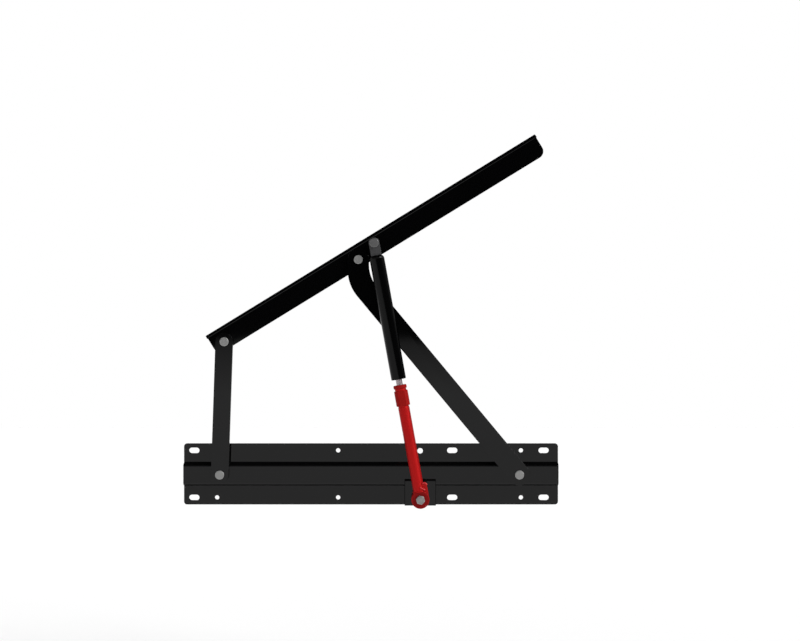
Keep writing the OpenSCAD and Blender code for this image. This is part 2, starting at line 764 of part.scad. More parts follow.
base_rail();
strut_bracket();
bracket_welds();
clinch_nut();
lower_bolt_tail();
rear_base_rivet();
front_base_rivet();
base_pivot_washers();
rear_link();
rear_link_bushes();
rear_top_rivet();
front_arm();
front_arm_bushes();
upper_rail();
rear_top_rivet_tail();
front_top_rivet();
rail_pivot_washers();
upper_stud();
upper_stud_cap();
upper_eye();
upper_eye_bush();
shroud_tube();
piston_rod();
piston();
piston_ring();
pressure_tube();
tube_plug();
guide_sleeve();
tube_cap();
rod_guide();
rod_seal();
lower_eye();
lower_eye_bush();
lower_bolt();
lower_bolt_washer();
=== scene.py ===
import json
import math

import bmesh
import bpy
import numpy as np
from mathutils import Matrix, Vector


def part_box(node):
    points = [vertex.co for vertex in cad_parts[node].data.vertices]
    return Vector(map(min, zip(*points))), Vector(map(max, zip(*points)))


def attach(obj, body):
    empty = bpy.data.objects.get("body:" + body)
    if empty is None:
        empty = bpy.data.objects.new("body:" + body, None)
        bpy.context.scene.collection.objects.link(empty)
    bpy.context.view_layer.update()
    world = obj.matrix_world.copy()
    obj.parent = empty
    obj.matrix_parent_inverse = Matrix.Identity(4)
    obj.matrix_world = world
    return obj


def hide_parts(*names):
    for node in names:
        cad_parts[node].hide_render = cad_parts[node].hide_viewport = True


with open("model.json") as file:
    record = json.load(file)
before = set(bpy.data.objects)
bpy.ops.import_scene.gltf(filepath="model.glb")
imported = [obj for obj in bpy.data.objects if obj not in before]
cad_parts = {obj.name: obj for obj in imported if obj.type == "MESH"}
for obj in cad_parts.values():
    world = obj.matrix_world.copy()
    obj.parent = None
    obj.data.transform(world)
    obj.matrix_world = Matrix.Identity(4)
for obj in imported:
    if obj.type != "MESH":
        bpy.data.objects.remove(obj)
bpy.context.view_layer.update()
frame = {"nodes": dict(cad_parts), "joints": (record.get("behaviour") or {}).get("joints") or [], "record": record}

NODES = frame["nodes"]
BODIES = frame["record"]["behaviour"]["bodies"]
BODY_OF = {node: body for body, nodes in BODIES.items() for node in nodes}
SLOT_OF = {part["node"]: part["material_slot"] for part in frame["record"]["subparts"]}
MM = 0.001
AHEAD = Vector((1, 0, 0))  # along the base rail, to its front end
BACK = Vector((0, 1, 0))  # away from the view, to the bed's side board


# Places of the mechanism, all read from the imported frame

def middle(node):
    """The middle of a node's box."""
    low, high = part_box(node)
    return (low + high) / 2


def pivot(joint):
    """The place of a joint at rest."""
    return next(Vector(found["pos_m"]) for found in frame["joints"] if found["name"] == joint)


REAR_FOOT = pivot("rear_link_pivot")
FRONT_FOOT = pivot("front_arm_pivot")
REAR_TOP = middle("rear_top_rivet")
FRONT_TOP = pivot("upper_rail_pivot")
STRUT_HEAD = pivot("strut_head_pivot")
BOLT_TAIL = middle("lower_bolt_tail")
STRUT_FOOT = Vector((BOLT_TAIL.x, STRUT_HEAD.y, BOLT_TAIL.z))
STRUT_UP = (STRUT_HEAD - STRUT_FOOT).normalized()
STRUT_SIDE = BACK.cross(STRUT_UP).normalized()


def axes(origin, x_way, z_way):
    """A piece's own axes as a matrix: X along x_way, and Z as near to z_way as a right angle allows."""
    x = x_way.normalized()
    z = (z_way - z_way.dot(x) * x).normalized()
    turned = Matrix((x, z.cross(x), z)).transposed().to_4x4()
    return Matrix.Translation(origin) @ turned


STRUT_AXES = axes(STRUT_FOOT, -BACK, STRUT_UP)
BAR_AXES = {
    "base_rail": axes(Vector((0, 0, 0)), AHEAD, -BACK),
    "rear_link": axes(REAR_FOOT, REAR_TOP - REAR_FOOT, -BACK),
    "front_arm": axes(FRONT_FOOT, FRONT_TOP - FRONT_FOOT, -BACK),
    "upper_rail": axes(REAR_TOP, FRONT_TOP - REAR_TOP, -BACK),
}
PIN_OF = {
    "strut_bracket": STRUT_FOOT, "clinch_nut": STRUT_FOOT, "lower_bolt_tail": STRUT_FOOT,
    "lower_bolt": STRUT_FOOT, "lower_bolt_washer": STRUT_FOOT, "lower_eye": STRUT_FOOT,
    "lower_eye_bush": STRUT_FOOT, "rear_base_rivet": REAR_FOOT, "front_base_rivet": FRONT_FOOT,
    "rear_top_rivet": REAR_TOP, "rear_top_rivet_tail": REAR_TOP, "front_top_rivet": FRONT_TOP,
    "upper_stud": STRUT_HEAD, "upper_stud_cap": STRUT_HEAD, "upper_eye": STRUT_HEAD,
    "upper_eye_bush": STRUT_HEAD,
}


def own_axes(node):
    """A bar's axes follow the bar, a piece on a pin has Z along the pin, and the rest follow the strut."""
    if node in BAR_AXES:
        return BAR_AXES[node]
    if node in PIN_OF:
        pin = PIN_OF[node]
        return axes(Vector((pin.x, 0, pin.z)), AHEAD, -BACK)
    return STRUT_AXES


# Shader building

class Net:
    """A node tree with short ways to add and join nodes, laid out from left to right."""

    NODE_STEP = 180

    def __init__(self, tree):
        self.tree = tree
        self.at = 0

    def add(self, kind, links=None, **settings):
        made = self.tree.nodes.new(kind)
        made.location = (self.at, 0)
        self.at += self.NODE_STEP
        for name, value in settings.items():
            setattr(made, name, value)
        for socket, value in (links or {}).items():
            self.join(value, made.inputs[socket])
        return made

    def join(self, value, socket):
        if isinstance(value, bpy.types.NodeSocket):
            self.tree.links.new(value, socket)
        else:
            socket.default_value = value

    def math(self, how, *values, clamp=False):
        made = self.add("ShaderNodeMath", operation=how, use_clamp=clamp)
        for socket, value in zip(made.inputs, values):
            self.join(value, socket)
        return made.outputs[0]

    def span(self, value, low, high, to_low=0.0, to_high=1.0, smooth=True):
        """Maps value from low..high to to_low..to_high."""
        made = self.add("ShaderNodeMapRange", interpolation_type="SMOOTHSTEP" if smooth else "LINEAR")
        for socket, item in zip(made.inputs, (value, low, high, to_low, to_high)):
            self.join(item, socket)
        return made.outputs[0]

    def noise(self, place, scale, detail=3.0, rough=0.6):
        return self.add("ShaderNodeTexNoise", {
            "Vector": place, "Scale": scale, "Detail": detail, "Roughness": rough}).outputs[0]

    def noise_along(self, length, rough):
        """Noise along a line, where length counts the waves."""
        made = self.add("ShaderNodeTexNoise", noise_dimensions="1D")
        for name, value in (("W", length), ("Scale", 1.0), ("Detail", 2.0), ("Roughness", rough)):
            self.join(value, made.inputs[name])
        return made.outputs[0]

    def mix(self, share, first, second):
        """Mixes two colours. A Mix node takes them in sockets 6 and 7, and gives the result in 2."""
        made = self.add("ShaderNodeMix", data_type="RGBA")
        for socket, value in ((made.inputs[0], share), (made.inputs[6], first), (made.inputs[7], second)):
            self.join(value, socket)
        return made.outputs[2]

    def parts(self, vector):
        return self.add("ShaderNodeSeparateXYZ", {"Vector": vector}).outputs


def effect(name, takes, gives):
    """Starts a shader node group with named inputs and outputs."""
    tree = bpy.data.node_groups.new(name, "ShaderNodeTree")
    for socket, kind, value in takes:
        made = tree.interface.new_socket(socket, in_out="INPUT", socket_type="NodeSocket" + kind)
        if value is not None:
            made.default_value = value
    for socket in gives:
        tree.interface.new_socket(socket, in_out="OUTPUT", socket_type="NodeSocketFloat")
    net = Net(tree)
    start = net.add("NodeGroupInput")
    return net, start.outputs, net.add("NodeGroupOutput").inputs


PLACE = ("Place", "Vector", None)


def from_axis(net, place):
    """The distance from the piece's own Z axis."""
    part = net.parts(place)
    square = net.math("MULTIPLY_ADD", part["X"], part["X"], net.math("MULTIPLY", part["Y"], part["Y"]))
    return net.math("SQRT", square)


def orange_peel():
    """The slight waviness of sprayed paint, and the cloudy difference in gloss that goes with it."""
    takes = [PLACE, ("Waves per metre", "Float", 700.0)]
    net, take, give = effect("orange_peel", takes, ["Height", "Cloud"])
    fine = net.noise(take["Place"], scale=take["Waves per metre"], detail=1.0, rough=0.4)
    wide_scale = net.math("MULTIPLY", take["Waves per metre"], 0.22)
    wide = net.noise(take["Place"], scale=wide_scale, detail=1.0, rough=0.5)
    net.join(net.math("MULTIPLY_ADD", wide, 0.6, fine), give["Height"])
    cloud = net.noise(take["Place"], scale=14.0)
    net.join(net.span(cloud, 0.3, 0.7), give["Cloud"])
    return net.tree


def edge_rub():
    """Where paint or plating on a rounded edge has been rubbed thin."""
    takes = [PLACE, ("Edge", "Float", 0.0), ("Amount", "Float", 0.3)]
    net, take, give = effect("edge_rub", takes, ["Rubbed"])
    patch = net.noise(take["Place"], scale=45.0, detail=4.0, rough=0.65)
    # The larger the amount, the more of the patches lie over the limit
    limit = net.math("SUBTRACT", 0.85, net.math("MULTIPLY", take["Amount"], 0.5))
    worn = net.span(patch, limit, net.math("ADD", limit, 0.1))
    net.join(net.math("MULTIPLY", worn, take["Edge"], clamp=True), give["Rubbed"])
    return net.tree


def lathe_marks():
    """Fine rings left by turning, round the piece's own Z axis on its faces and along it on its sides."""
    takes = [PLACE, ("Rings per metre", "Float", 4000.0)]
    net, take, give = effect("lathe_marks", takes, ["Height", "Tone"])
    reach = net.math("ADD", from_axis(net, take["Place"]), net.parts(take["Place"])["Z"])
    rings = net.noise_along(net.math("MULTIPLY", reach, take["Rings per metre"]), rough=0.7)
    net.join(rings, give["Height"])
    net.join(net.span(rings, 0.25, 0.75), give["Tone"])
    return net.tree


def drawn_lines():
    """Fine lines from grinding, long in the directions in which the place is stretched least."""
    net, take, give = effect("drawn_lines", [PLACE, ("Stretch", "Vector", None)], ["Height", "Tone"])
    both = {0: take["Place"], 1: take["Stretch"]}
    stretched = net.add("ShaderNodeVectorMath", both, operation="MULTIPLY").outputs[0]
    lines = net.noise(stretched, scale=1.0)
    net.join(lines, give["Height"])
    net.join(net.span(lines, 0.3, 0.7), give["Tone"])
    return net.tree


def grainy_skin():
    """The fine grain of a phosphated, galvanised or moulded face."""
    takes = [PLACE, ("Grains per metre", "Float", 1500.0)]
    net, take, give = effect("grainy_skin", takes, ["Height", "Tone"])
    grains = net.add("ShaderNodeTexVoronoi", {"Vector": take["Place"], "Scale": take["Grains per metre"]})
    soft = net.noise(take["Place"], scale=net.math("MULTIPLY", take["Grains per metre"], 0.3))
    net.join(net.math("MULTIPLY_ADD", grains.outputs["Distance"], 0.5, soft), give["Height"])
    patch = net.noise(take["Place"], scale=90.0, detail=4.0)
    net.join(net.span(patch, 0.3, 0.7), give["Tone"])
    return net.tree


def settled_dust():
    """A thin coat of dust on faces that look up, in soft patches."""
    net, take, give = effect("settled_dust", [PLACE, ("Amount", "Float", 0.1)], ["Film"])
    up = net.parts(net.add("ShaderNodeNewGeometry").outputs["Normal"])["Z"]
    lying = net.span(up, 0.55, 0.95)
    patch = net.span(net.noise(take["Place"], scale=30.0, detail=4.0), 0.35, 0.7, to_low=0.3)
    net.join(net.math("MULTIPLY", net.math("MULTIPLY", patch, lying), take["Amount"]), give["Film"])
    return net.tree


def joint_grime():
    """Painted shade round a pin: darkest near the piece's own Z axis, fading further out, with a ragged rim."""
    takes = [PLACE, ("Near", "Float", 13.5 * MM), ("Far", "Float", 18.5 * MM), ("Amount", "Float", 0.5)]
    net, take, give = effect("joint_grime", takes, ["Film"])
    rim = net.noise(take["Place"], scale=260.0)
    ragged = net.math("MULTIPLY_ADD", rim, 4 * MM, from_axis(net, take["Place"]))
    net.join(net.span(ragged, take["Near"], take["Far"], to_low=take["Amount"], to_high=0.0), give["Film"])
    return net.tree


EFFECTS = {make.__name__: make() for make in (
    orange_peel, edge_rub, lathe_marks, drawn_lines, grainy_skin, settled_dust, joint_grime)}


def shade(colour, factor=1.0):
    """The colour made darker or paler, as a shader takes it."""
    return (*[min(1.0, channel * factor) for channel in colour], 1.0)


def finish(name, colour, rough, metal=0.0, specular=0.5):
    """Starts a material. Returns it with its net, its shader's inputs, and the mesh's place and edge."""
    made = bpy.data.materials.new(name)
    made.use_nodes = True
    made.node_tree.nodes.clear()
    made.diffuse_color = shade(colour)
    net = Net(made.node_tree)
    shader = net.add("ShaderNodeBsdfPrincipled", {
        "Base Color": shade(colour), "Metallic": metal, "Roughness": rough, "Specular IOR Level": specular,
    })
    net.add("ShaderNodeOutputMaterial", {"Surface": shader.outputs[0]})
    place = net.add("ShaderNodeAttribute", attribute_name="own_place").outputs["Vector"]
    edge = net.add("ShaderNodeAttribute", attribute_name="rounded_edge").outputs["Fac"]
    return made, net, shader.inputs, place, edge


def use(net, group, **values):
    """Places an effect in a material and sets its inputs, whose spaces are underscores here."""
    made = net.add("ShaderNodeGroup")
    made.node_tree = EFFECTS[group]
    for name, value in values.items():
        net.join(value, made.inputs[name.replace("_", " ")])
    return made.outputs


def vary_colour(net, tone, colour, spread):
    """The colour, darker where the tone is low and paler where it is high, by up to the spread."""
    return net.mix(tone, shade(colour, 1 - spread), shade(colour, 1 + spread))


def vary_gloss(net, shader, tone, rough, spread):
    """Makes pale spots smoother and dark spots rougher, by up to the spread."""
    net.join(net.span(tone, 0.0, 1.0, rough * (1 + spread), rough * (1 - spread)), shader["Roughness"])


def pale_edges(net, shader, edge, varied, colour, share, paler):
    """Mixes a share of a paler colour into the varied one on the rounded edges."""
    net.join(net.mix(net.math("MULTIPLY", edge, share), varied, shade(colour, paler)), shader["Base Color"])


def relief(net, shader, height, depth):
    """Lets a height change the way the face catches the light."""
    bump = net.add("ShaderNodeBump", {"Strength": 1.0, "Distance": depth, "Height": height})
    net.join(bump.outputs[0], shader["Normal"])


# Paint: how its clouds, dust, painted shade round a pin and rubbed edges differ from the clean coat
CLOUD_SHARE = 0.3
CLOUD_PALER = 1.25
CLOUD_ROUGHNESS = (0.9, 1.15)
DUST = (0.30, 0.29, 0.27)
DUST_ROUGHENS = 2.0
JOINT_SHADE_DARKER = 0.2
RUB_ROUGHENS = 0.25


def sprayed(name, colour, rough, specular, depth, rub, bare, waves=700.0, metal=0.0, dust=0.0, joint_shade=0.0,
            painted_dark_edge=0.0):
    """Paint over steel, rubbed to a bare tone on the edges, with dust where the piece has any, and painted shade
    round a pin or along the rounded edges where asked.
    """
    made, net, shader, place, edge = finish(name, colour, rough, metal, specular)
    peel = use(net, "orange_peel", Place=place, Waves_per_metre=waves)
    worn = use(net, "edge_rub", Place=place, Edge=edge, Amount=rub)["Rubbed"]
    cloud = net.math("MULTIPLY", peel["Cloud"], CLOUD_SHARE)
    tone = net.mix(cloud, shade(colour), shade(colour, CLOUD_PALER))
    dullness = net.span(peel["Cloud"], 0.0, 1.0, *[rough * share for share in CLOUD_ROUGHNESS])
    if dust:
        dust_and_shade = use(net, "settled_dust", Place=place, Amount=dust)["Film"]
        tone = net.mix(dust_and_shade, tone, shade(DUST))
        dullness = net.math("MULTIPLY_ADD", dust_and_shade, DUST_ROUGHENS, dullness)
    # Painted shade round the pin: the paint darkens towards its axis
    if joint_shade:
        dust_and_shade = use(net, "joint_grime", Place=place, Amount=joint_shade)["Film"]
        tone = net.mix(dust_and_shade, tone, shade(colour, JOINT_SHADE_DARKER))
    if painted_dark_edge:
        # Painted shade: black as a metal, the rounding mirrors hardly anything, so the edges show as dark lines
        net.join(net.math("MULTIPLY", edge, painted_dark_edge), shader["Metallic"])
    net.join(net.mix(worn, tone, shade(bare)), shader["Base Color"])
    net.join(net.math("MULTIPLY_ADD", worn, RUB_ROUGHENS, dullness), shader["Roughness"])
    relief(net, shader, peel["Height"], depth)
    return made


def lathed(name, colour, rough, rings=4000.0, spread=0.12):
    """Turned metal, paler on its edges."""
    made, net, shader, place, edge = finish(name, colour, rough, metal=1.0)
    marks = use(net, "lathe_marks", Place=place, Rings_per_metre=rings)
    varied = vary_colour(net, marks["Tone"], colour, spread)
    pale_edges(net, shader, edge, varied, colour, share=0.35, paler=1.5)
    vary_gloss(net, shader, marks["Tone"], rough, spread=0.12)
    relief(net, shader, marks["Height"], depth=2e-6)
    return made


def grained(name, colour, rough, grains, depth, spread=0.15, metal=0.0, specular=0.5):
    """Plated, phosphated or moulded faces, paler on their edges."""
    made, net, shader, place, edge = finish(name, colour, rough, metal, specular)
    skin = use(net, "grainy_skin", Place=place, Grains_per_metre=grains)
    varied = vary_colour(net, skin["Tone"], colour, spread)
    pale_edges(net, shader, edge, varied, colour, share=0.3, paler=1.4)
    vary_gloss(net, shader, skin["Tone"], rough, spread=0.1)
    relief(net, shader, skin["Height"], depth)
    return made


ROD_LINES = (60.0, 60.0, 9000.0)  # stretch along each axis of the rod, so that the lines run round it
ROD_LINE_DARKER = 0.92


def polished(name, colour, rough):
    """The ground and polished rod, with hardly visible lines round it."""
    made, net, shader, place, _ = finish(name, colour, rough, metal=1.0)
    lines = use(net, "drawn_lines", Place=place, Stretch=ROD_LINES)
    net.join(net.mix(lines["Tone"], shade(colour, ROD_LINE_DARKER), shade(colour)), shader["Base Color"])
    vary_gloss(net, shader, lines["Tone"], rough, spread=0.2)
    relief(net, shader, lines["Height"], depth=3e-7)
    return made


BLACK = (0.0010, 0.0010, 0.0011)
DARK_RED = (0.24, 0.02, 0.02)

FINISHES = {
    "black_paint": sprayed(
        "black_powder_coat", BLACK, rough=0.035, specular=0.255, depth=6e-7, rub=0.25,
        bare=(0.02, 0.02, 0.021), dust=0.004),
    "shroud_paint": sprayed(
        "black_tube_lacquer", (0.0011, 0.0011, 0.0012), rough=0.08, specular=0.13, depth=4e-7, rub=0.1,
        bare=(0.03, 0.03, 0.03), waves=400.0),
    "red_paint": sprayed(
        "red_tube_lacquer", (0.40, 0.007, 0.007), rough=0.42, specular=0.12, depth=1e-6, rub=0.3,
        bare=DARK_RED, waves=900.0, metal=0.5),
    # The tube's red made darker as painted shade on the eye, with painted shade round its pin
    "eye_paint": sprayed(
        "red_eye_lacquer", (0.36, 0.007, 0.007), rough=0.42, specular=0.12, depth=1e-6, rub=0.3,
        bare=DARK_RED, waves=900.0, metal=0.4, joint_shade=0.55),
    "weld_paint": sprayed(
        "red_weld_lacquer", (0.44, 0.018, 0.02), rough=0.28, specular=0.35, depth=1e-6, rub=0.3,
        bare=DARK_RED, waves=900.0, metal=0.2),
    # Painted shade: dark lines along the bracket's rounded edges
    "bracket_paint": sprayed(
        "black_bracket_coat", BLACK, rough=0.035, specular=0.26, depth=6e-7, rub=0.1,
        bare=(0.004, 0.004, 0.004), dust=0.004, painted_dark_edge=0.9),
    "red_plastic": grained(
        "red_moulded_plastic", (0.265, 0.005, 0.004), rough=0.5, grains=2600.0, depth=3e-6,
        spread=0.06, specular=0.06),
    "rivet_steel": lathed("plain_rivet_steel", (0.312, 0.312, 0.307), rough=0.5),
    "cap_steel": lathed("darkened_turned_steel", (0.152, 0.152, 0.153), rough=0.45, spread=0.08),
    "dark_steel": grained(
        "dark_phosphated_steel", (0.058, 0.058, 0.060), rough=0.55, grains=1800.0, depth=8e-6, metal=0.8),
    "zinc_plate": grained(
        "dull_zinc_plate", (0.30, 0.29, 0.28), rough=0.5, grains=1400.0, depth=6e-6, metal=0.9),
    "rod_chrome": polished("polished_rod", (0.40, 0.34, 0.355), rough=0.35),
    "turned_steel": lathed("bright_turned_steel", (0.5, 0.5, 0.5), rough=0.35, rings=3000.0),
    "bush_plastic": grained(
        "bearing_plastic", (0.55, 0.53, 0.46), rough=0.45, grains=2200.0, depth=4e-6, spread=0.05),
    "seal_rubber": grained("seal_rubber", (0.02, 0.02, 0.02), rough=0.6, grains=1600.0, depth=6e-6),
}

# The nodes whose finish isn't the one that bears their slot's name
OWN_FINISH = {"lower_eye": "eye_paint", "strut_bracket": "bracket_paint"}


# Dressed copies of the CAD nodes: the same solids with their edges rounded

USUAL_ROUNDING = 0.25 * MM
ROUNDING = {
    "base_rail": 0.2 * MM, "strut_bracket": 0.8 * MM, "upper_rail": 0.2 * MM, "shroud_tube": 0.15 * MM,
    "guide_sleeve": 0.2 * MM, "tube_cap": 0.3 * MM, "lower_eye": 0.6 * MM, "upper_eye": 0.6 * MM,
    "upper_stud_cap": 0.35 * MM, "piston_ring": 0.1 * MM, "bracket_welds": 0.0,
}
SAME_PLACE = 0.001 * MM
NEAR_CUT = 0.01 * MM
FLAT_TURN = math.radians(0.4)
CORNER_TURN = math.radians(28)
CREASE_TURN = math.radians(35)


def quarter(shape, centre, directions):
    """Cuts the flat faces round a bore into sectors, which keeps their outlines simple for the rounding."""
    for direction in directions:
        whole = shape.verts[:] + shape.edges[:] + shape.faces[:]
        cut = bmesh.ops.bisect_plane(shape, geom=whole, dist=NEAR_CUT, plane_co=centre, plane_no=direction)
        for item in cut["geom_cut"]:
            if isinstance(item, bmesh.types.BMEdge):
                item.seam = True


def clean_copy(node):
    """The CAD node's triangles merged into whole flat faces."""
    shape = bmesh.new()
    shape.from_mesh(NODES[node].data)
    bmesh.ops.remove_doubles(shape, verts=shape.verts, dist=SAME_PLACE)
    if node == "upper_eye":
        quarter(shape, STRUT_HEAD, (STRUT_SIDE, STRUT_UP))
    bmesh.ops.dissolve_limit(
        shape, angle_limit=FLAT_TURN, verts=shape.verts, edges=shape.edges, delimit={"SEAM"})
    return shape


def round_edges(shape, width):
    """Rounds the outer edges, and says for each face whether it belongs to a rounding."""
    mark = shape.faces.layers.int.new("round")
    edges = [edge for edge in shape.edges
             if len(edge.link_faces) == 2 and edge.is_convex and edge.calc_face_angle() > CORNER_TURN]
    made = bmesh.ops.bevel(
        shape, geom=edges, offset=width, offset_type="OFFSET", segments=2, profile=0.5, affect="EDGES",
        clamp_overlap=False, loop_slide=True)
    for face in made["faces"]:
        face[mark] = 1
    return [face[mark] for face in shape.faces]


def dress_mesh(mesh, body, look, own, rounded, crease):
    """Makes the mesh a piece of the object: its own place, edge marks, finish and body."""
    places = np.empty(len(mesh.vertices) * 3)
    mesh.vertices.foreach_get("co", places)
    back = np.array(own.inverted())
    own_places = places.reshape(-1, 3) @ back[:3, :3].T + back[:3, 3]
    mesh.attributes.new("own_place", "FLOAT_VECTOR", "POINT").data.foreach_set("vector", own_places.ravel())
    corners = np.repeat(np.array(rounded, float), [len(face.vertices) for face in mesh.polygons])
    mesh.attributes.new("rounded_edge", "FLOAT", "CORNER").data.foreach_set("value", corners)
    mesh.materials.clear()
    mesh.materials.append(FINISHES[look])
    mesh.shade_smooth()
    mesh.set_sharp_from_angle(angle=crease)
    piece = bpy.data.objects.new(mesh.name, mesh)
    bpy.context.scene.collection.objects.link(piece)
    even = piece.modifiers.new("even_normals", "WEIGHTED_NORMAL")
    even.keep_sharp = True
    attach(piece, body)
    return piece


def dress_node(node):
    """Stands a copy with rounded edges in for the CAD node."""
    shape = clean_copy(node)
    width = ROUNDING.get(node, USUAL_ROUNDING)
    rounded = round_edges(shape, width) if width else [0] * len(shape.faces)
    mesh = bpy.data.meshes.new(node + "_dressed")
    shape.to_mesh(mesh)
    shape.free()
    slot = SLOT_OF[node]
    look = OWN_FINISH.get(node, slot)
    piece = dress_mesh(mesh, BODY_OF[node], look, own_axes(node), rounded, CREASE_TURN)
    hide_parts(node)


for node in NODES:
    dress_node(node)


# Weld runs at the foot of the strut: up both sides of the ear, round the tube's seat, and two on the front

STEPS_PER_RIPPLE = 8.0
RIPPLE_LEAN = 0.6
DRIFTS_PER_METRE = 350.0
DRIFT_PER_SEED = 3.7
CRATER_RUN = 0.03  # as a share of the whole run
CRATER_LEFT = 0.25  # as a share of the bead's thickness
BEAD_SIDES = 14
WELD_CREASE_TURN = math.radians(50)


def weld_tree():
    """A weld run along a path: a bead whose thickness rises and falls with each ripple of the weld pool."""
    tree = bpy.data.node_groups.new("weld_run", "GeometryNodeTree")
    takes = [("Path", "Geometry", None), ("Bead radius", "Float", 1 * MM),
             ("Ripple pitch", "Float", 1.2 * MM), ("Ripple depth", "Float", 0.12),
             ("Unevenness", "Float", 0.12), ("Seed", "Int", 7), ("Finish", "Material", None)]
    for name, kind, value in takes:
        socket = tree.interface.new_socket(name, in_out="INPUT", socket_type="NodeSocket" + kind)
        if value is not None:
            socket.default_value = value
    tree.interface.new_socket("Weld", in_out="OUTPUT", socket_type="NodeSocketGeometry")
    net = Net(tree)
    take = net.add("NodeGroupInput").outputs
    fine = net.math("DIVIDE", take["Ripple pitch"], STEPS_PER_RIPPLE)
    path = net.add("GeometryNodeResampleCurve", {"Curve": take["Path"], "Length": fine}, mode="LENGTH")
    run = net.add("GeometryNodeSplineParameter").outputs
    # Each ripple swells slowly and ends in a short fall
    step = net.math("FRACT", net.math("DIVIDE", run["Length"], take["Ripple pitch"]))
    swell = net.math("SINE", net.math("MULTIPLY", net.math("POWER", step, RIPPLE_LEAN), math.pi))
    rippled = net.math("MULTIPLY_ADD", swell, take["Ripple depth"], 1.0)
    start = net.math("MULTIPLY", take["Seed"], DRIFT_PER_SEED)
    drift = net.noise_along(net.math("MULTIPLY_ADD", run["Length"], DRIFTS_PER_METRE, start), rough=0.5)
    uneven = net.math("MULTIPLY", net.math("SUBTRACT", drift, 0.5), take["Unevenness"])
    # The run closes in a round crater at either end
    begun = net.span(run["Factor"], 0.0, CRATER_RUN, CRATER_LEFT, 1.0)
    ended = net.span(run["Factor"], 1.0 - CRATER_RUN, 1.0, 1.0, CRATER_LEFT)
    size = net.math("MULTIPLY", net.math("ADD", rippled, uneven), net.math("MULTIPLY", begun, ended))
    thick = net.math("MULTIPLY", size, take["Bead radius"])
    ring = net.add("GeometryNodeCurvePrimitiveCircle", {"Resolution": BEAD_SIDES, "Radius": 1.0})
    bead = net.add("GeometryNodeCurveToMesh", {
        "Curve": path.outputs[0], "Profile Curve": ring.outputs[0], "Scale": thick, "Fill Caps": True})
    real = net.add("GeometryNodeRealizeInstances", {"Geometry": bead.outputs[0]})
    painted = net.add("GeometryNodeSetMaterial", {"Geometry": real.outputs[0], "Material": take["Finish"]})
    net.join(painted.outputs[0], net.add("NodeGroupOutput").inputs[0])
    return tree


WELD_TREE = weld_tree()
WELD_SOCKETS = WELD_TREE.interface.items_tree
WELD_INPUT = {item.name: item.identifier for item in WELD_SOCKETS if item.in_out == "INPUT"}


def foot_weld(name, points, radius, pitch, seed, look):
    """Lays a weld run along the points, and turns it into a plain piece of the strut's tube."""
    line = bpy.data.curves.new(name + "_path", "CURVE")
    line.dimensions = "3D"
    spline = line.splines.new("POLY")
    spline.points.add(len(points) - 1)
    for point, place in zip(spline.points, points):
        point.co = (*place, 1.0)
    holder = bpy.data.objects.new(name + "_path", line)
    bpy.context.scene.collection.objects.link(holder)
    maker = holder.modifiers.new("weld_run", "NODES")
    maker.node_group = WELD_TREE
    maker[WELD_INPUT["Bead radius"]] = radius * MM
    maker[WELD_INPUT["Ripple pitch"]] = pitch * MM
    maker[WELD_INPUT["Seed"]] = seed
    maker[WELD_INPUT["Finish"]] = FINISHES[look]
    ready = holder.evaluated_get(bpy.context.evaluated_depsgraph_get())
    mesh = bpy.data.meshes.new_from_object(ready)
    bpy.data.objects.remove(holder)
    mesh.name = name
    plain = [0] * len(mesh.polygons)
    dress_mesh(mesh, "strut_tube", look, own_axes("pressure_tube"), plain, WELD_CREASE_TURN)


def strut_point(across, front, along):
    """A place in millimetres from the strut's foot: to the rails' front end, to the view, up the strut."""
    return STRUT_FOOT + (STRUT_SIDE * across - BACK * front + STRUT_UP * along) * MM


def filled_in(stations, steps):
    """Points along the straight stretches between the stations."""
    ends = [Vector(station) for station in stations]
    stretches = zip(ends, ends[1:])
    return [near.lerp(far, i / steps) for near, far in stretches for i in range(steps)] + [ends[-1]]


# Sizes at the strut's foot in millimetres, and turns round the tube in radians
TUBE_RADIUS = 9.0
EAR_FACE = 5.5  # from the tube's middle to either face of the ear
EAR_CORNER = math.asin(EAR_FACE / TUBE_RADIUS)
BEAD_RADIUS = 0.9
BEAD_LIFT = 0.45 * BEAD_RADIUS  # from the tube's skin to the bead's middle
BEAD_PITCH = 1.5
EAR_RUN_TURN = EAR_CORNER + 0.05
EAR_RUN_LOW = 13.4
EAR_RUN_HIGH = 23.8
EAR_RUN_STEPS = 30
SEAT_RUN_TURN = EAR_CORNER + 0.12
SEAT_RUN_AT = 12.35
SEAT_RUN_STEPS = 90

# The two thicker runs on the front: over the top of the ear, and off its corner onto the tube
THICK_BEAD_RADIUS = 1.25
THICK_BEAD_PITCH = 2.6
THICK_RUN_STEPS = 8  # from one station to the next
TOP_RUN = [(6.8, 6.5, 24.4), (9.6, 5.7, 25.1), (11.6, 5.3, 24.6), (13.5, 4.9, 22.6), (14.0, 4.8, 20.8)]
TOE_RUN = [(2.6, 9.1, 19.9), (5.2, 7.9, 17.3), (7.6, 6.3, 15.2), (9.6, 5.6, 13.6)]


def on_tube(turn, along):
    """The middle of a bead on the tube, turned from the side of the ear towards the view."""
    out = TUBE_RADIUS + BEAD_LIFT
    return strut_point(out * math.cos(turn), out * math.sin(turn), along)


def shares(steps):
    """Equal steps from 0 to 1."""
    return [i / steps for i in range(steps + 1)]


def ear_weld(name, turn):
    rise = EAR_RUN_HIGH - EAR_RUN_LOW
    run = [on_tube(turn, EAR_RUN_LOW + share * rise) for share in shares(EAR_RUN_STEPS)]
    foot_weld(name, run, BEAD_RADIUS, BEAD_PITCH, seed=3, look="red_paint")


